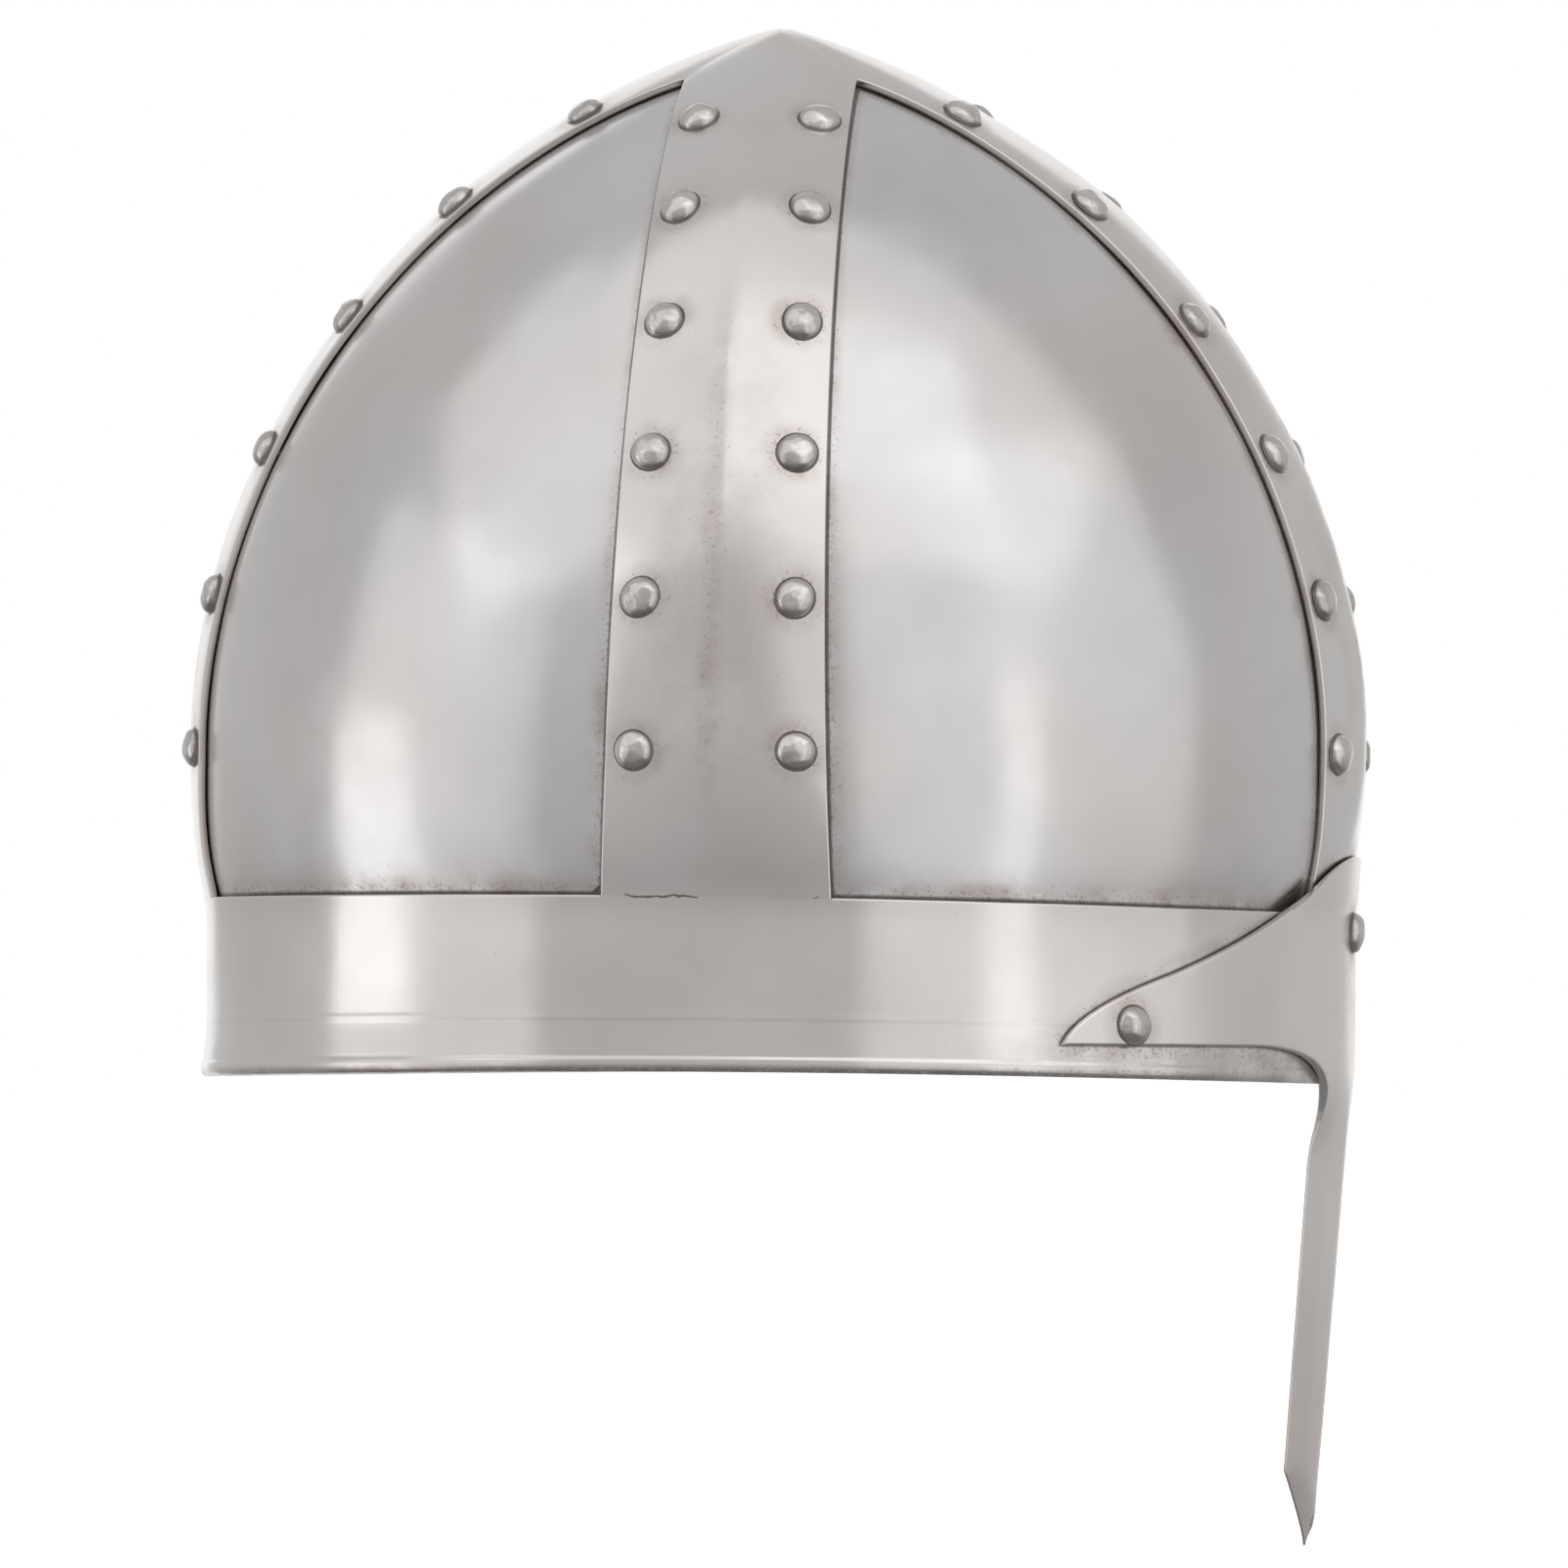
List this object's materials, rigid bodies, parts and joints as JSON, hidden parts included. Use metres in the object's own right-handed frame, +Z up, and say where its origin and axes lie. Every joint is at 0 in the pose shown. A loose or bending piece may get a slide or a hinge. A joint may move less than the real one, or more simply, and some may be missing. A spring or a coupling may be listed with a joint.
{
  "type": "knight helmet",
  "caption": "Riveted steel helmet with a brow band, crossed straps, bowl plates, a nasal bar and a laced leather liner.",
  "frame": {"origin": "middle of the head opening, in the plane of the rim's lowest point", "axes": "+Z up through the crown, -Y the way the face looks, +X the wearer's left"},
  "size_m": [0.2098, 0.2375, 0.3032],
  "materials": {
    "frame_steel": "satin ground mild steel with dark freckles along the edges",
    "plate_steel": "satin polished mild steel, slightly clouded",
    "nasal_steel": "satin ground mild steel",
    "rivet_steel": "hammered and wiped, dark at the foot of the head",
    "liner_leather": "vegetable tanned, oiled",
    "lace_leather": "thin dark thong"
  },
  "bodies": {
    "root": {"brow_band": "frame_steel", "strap_cross": "frame_steel", "plate_front_left": "plate_steel", "plate_back_left": "plate_steel", "plate_back_right": "plate_steel", "plate_front_right": "plate_steel", "nasal_guard": "nasal_steel", "rivet_front_right_1": "rivet_steel", "rivet_front_right_2": "rivet_steel", "rivet_front_right_3": "rivet_steel", "rivet_front_right_4": "rivet_steel", "rivet_front_right_5": "rivet_steel", "rivet_front_right_6": "rivet_steel", "rivet_front_left_1": "rivet_steel", "rivet_front_left_2": "rivet_steel", "rivet_front_left_3": "rivet_steel", "rivet_front_left_4": "rivet_steel", "rivet_front_left_5": "rivet_steel", "rivet_front_left_6": "rivet_steel", "rivet_left_front_1": "rivet_steel", "rivet_left_front_2": "rivet_steel", "rivet_left_front_3": "rivet_steel", "rivet_left_front_4": "rivet_steel", "rivet_left_front_5": "rivet_steel", "rivet_left_front_6": "rivet_steel", "rivet_left_back_1": "rivet_steel", "rivet_left_back_2": "rivet_steel", "rivet_left_back_3": "rivet_steel", "rivet_left_back_4": "rivet_steel", "rivet_left_back_5": "rivet_steel", "rivet_left_back_6": "rivet_steel", "rivet_back_left_1": "rivet_steel", "rivet_back_left_2": "rivet_steel", "rivet_back_left_3": "rivet_steel", "rivet_back_left_4": "rivet_steel", "rivet_back_left_5": "rivet_steel", "rivet_back_left_6": "rivet_steel", "rivet_back_right_1": "rivet_steel", "rivet_back_right_2": "rivet_steel", "rivet_back_right_3": "rivet_steel", "rivet_back_right_4": "rivet_steel", "rivet_back_right_5": "rivet_steel", "rivet_back_right_6": "rivet_steel", "rivet_right_back_1": "rivet_steel", "rivet_right_back_2": "rivet_steel", "rivet_right_back_3": "rivet_steel", "rivet_right_back_4": "rivet_steel", "rivet_right_back_5": "rivet_steel", "rivet_right_back_6": "rivet_steel", "rivet_right_front_1": "rivet_steel", "rivet_right_front_2": "rivet_steel", "rivet_right_front_3": "rivet_steel", "rivet_right_front_4": "rivet_steel", "rivet_right_front_5": "rivet_steel", "rivet_right_front_6": "rivet_steel", "rivet_nasal_top": "rivet_steel", "rivet_nasal_left": "rivet_steel", "rivet_nasal_right": "rivet_steel", "leather_liner": "liner_leather", "liner_lace": "lace_leather"}
  },
  "joints": []
}
